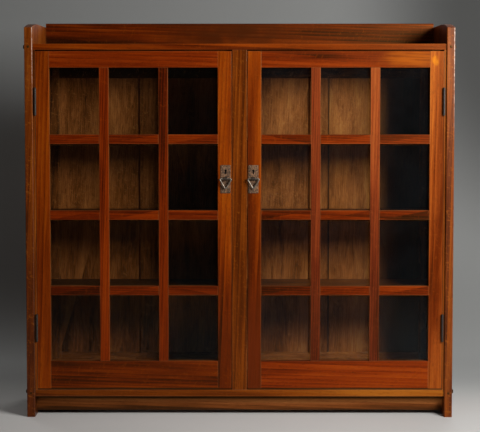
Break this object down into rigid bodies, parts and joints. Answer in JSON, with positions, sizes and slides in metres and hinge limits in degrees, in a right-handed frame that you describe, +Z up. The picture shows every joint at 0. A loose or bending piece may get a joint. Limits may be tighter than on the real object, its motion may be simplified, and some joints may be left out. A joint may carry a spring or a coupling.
{
  "type": "double door bookcase",
  "caption": "Free-standing oak bookcase with a low gallery, glazed double doors on butt hinges, drop-bail pulls with locks, a framed back and shelves on pegs.",
  "frame": {"origin": "on the floor under the middle of the case", "axes": "+X to the right seen from the front, +Y from the doors to the back, +Z up"},
  "size_m": [1.542, 0.3395, 1.425],
  "materials": {
    "oak_case": "fumed oak under worn shellac",
    "oak_door": "fumed oak under worn shellac",
    "oak_back": "oak with a thin stain, dull",
    "oak_shelf": "oak with a thin stain, satin",
    "oak_pin": "dark end grain",
    "window_glass": "clear sheet glass",
    "hinge_iron": "black oxide",
    "lock_steel": "dull",
    "hammered_copper": "hammered, brown patina"
  },
  "bodies": {
    "case": {"left_side": "oak_case", "right_side": "oak_case", "top_board": "oak_case", "bottom_board": "oak_case", "toe_board": "oak_case", "gallery_board": "oak_case", "tenon_pins": "oak_pin", "center_partition": "oak_case", "center_stile": "oak_case", "left_hanging_strip": "oak_case", "right_hanging_strip": "oak_case", "door_stops": "oak_case", "hinge_frame_leaves": "hinge_iron", "hinge_pins": "hinge_iron", "back_stile_left": "oak_back", "back_stile_right": "oak_back", "back_rail_top": "oak_back", "back_rail_bottom": "oak_back", "back_panels": "oak_back", "shelf_pegs": "oak_pin", "back_muntin_left": "oak_back", "back_muntin_center": "oak_back", "back_muntin_right": "oak_back", "left_shelf_lower": "oak_shelf", "left_shelf_middle": "oak_shelf", "left_shelf_upper": "oak_shelf", "right_shelf_lower": "oak_shelf", "right_shelf_middle": "oak_shelf", "right_shelf_upper": "oak_shelf"},
    "left_door": {"left_door_hinge_stile": "oak_door", "left_door_lock_stile": "oak_door", "left_door_top_rail": "oak_door", "left_door_bottom_rail": "oak_door", "left_door_upright_bars": "oak_door", "left_door_cross_bars": "oak_door", "left_door_panes": "window_glass", "left_door_glazing_beads": "oak_door", "left_door_hinge_leaves": "hinge_iron", "left_door_lock_case": "lock_steel", "left_door_pull_plate": "hammered_copper"},
    "right_door": {"right_door_hinge_stile": "oak_door", "right_door_lock_stile": "oak_door", "right_door_top_rail": "oak_door", "right_door_bottom_rail": "oak_door", "right_door_upright_bars": "oak_door", "right_door_cross_bars": "oak_door", "right_door_panes": "window_glass", "right_door_glazing_beads": "oak_door", "right_door_hinge_leaves": "hinge_iron", "right_door_lock_case": "lock_steel", "right_door_pull_plate": "hammered_copper"},
    "left_bail": {"left_door_bail": "hammered_copper"},
    "left_bolt": {"left_door_lock_bolt": "lock_steel"},
    "right_bail": {"right_door_bail": "hammered_copper"},
    "right_bolt": {"right_door_lock_bolt": "lock_steel"}
  },
  "joints": [
    {"name": "left_door_swing", "type": "hinge", "parent": "case", "child": "left_door", "pos_m": [-0.7249, -0.164, 0.7055], "axis": [0, 0, -1], "range_deg": [0, 175]},
    {"name": "left_bail_lift", "type": "hinge", "parent": "left_door", "child": "left_bail", "pos_m": [-0.0495, -0.169, 0.857], "axis": [-1, 0, 0], "range_deg": [0, 100]},
    {"name": "left_bolt_throw", "type": "slide", "parent": "left_door", "child": "left_bolt", "axis": [1, 0, 0], "range_m": [0, 0.009]},
    {"name": "right_door_swing", "type": "hinge", "parent": "case", "child": "right_door", "pos_m": [0.7249, -0.164, 0.7055], "axis": [0, 0, 1], "range_deg": [0, 175]},
    {"name": "right_bail_lift", "type": "hinge", "parent": "right_door", "child": "right_bail", "pos_m": [0.0495, -0.169, 0.857], "axis": [-1, 0, 0], "range_deg": [0, 100]},
    {"name": "right_bolt_throw", "type": "slide", "parent": "right_door", "child": "right_bolt", "axis": [-1, 0, 0], "range_m": [0, 0.009]}
  ]
}
